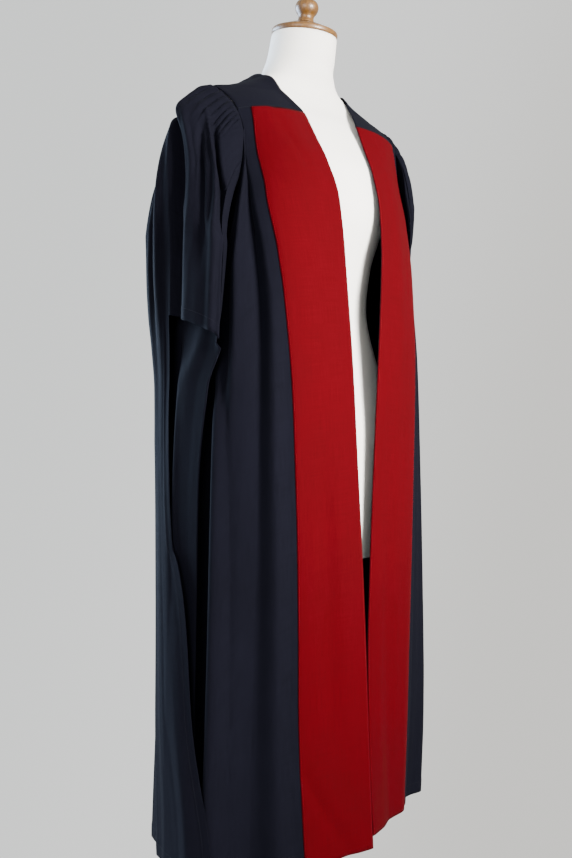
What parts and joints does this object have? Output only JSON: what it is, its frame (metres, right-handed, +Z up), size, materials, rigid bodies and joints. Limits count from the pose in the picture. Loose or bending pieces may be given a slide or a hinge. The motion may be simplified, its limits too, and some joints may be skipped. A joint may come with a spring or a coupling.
{
  "type": "graduation gown on a dress form",
  "caption": "Open black graduation gown with broad red front facings and long open sleeves, on a limbless dress form with a wooden neck cap and a plain stand.",
  "frame": {"origin": "on the floor, under the axis of the dress form and its stand", "axes": "+Z up; the gown's open front faces -Y, so the wearer's right arm is at -X"},
  "size_m": [0.5212, 0.38, 1.5738],
  "materials": {
    "black_cloth": "matt woven",
    "red_facing": "matt woven",
    "form_cover": "matt jersey",
    "turned_wood": "satin varnish"
  },
  "bodies": {
    "root": {"yoke": "black_cloth", "back": "black_cloth", "front_right": "black_cloth", "front_left": "black_cloth", "facing_right": "red_facing", "facing_left": "red_facing", "sleeve_right": "black_cloth", "sleeve_left": "black_cloth", "form_torso": "form_cover", "neck_cap": "turned_wood", "neck_knob": "turned_wood", "stand_pole": "turned_wood", "stand_base": "turned_wood"}
  },
  "joints": []
}
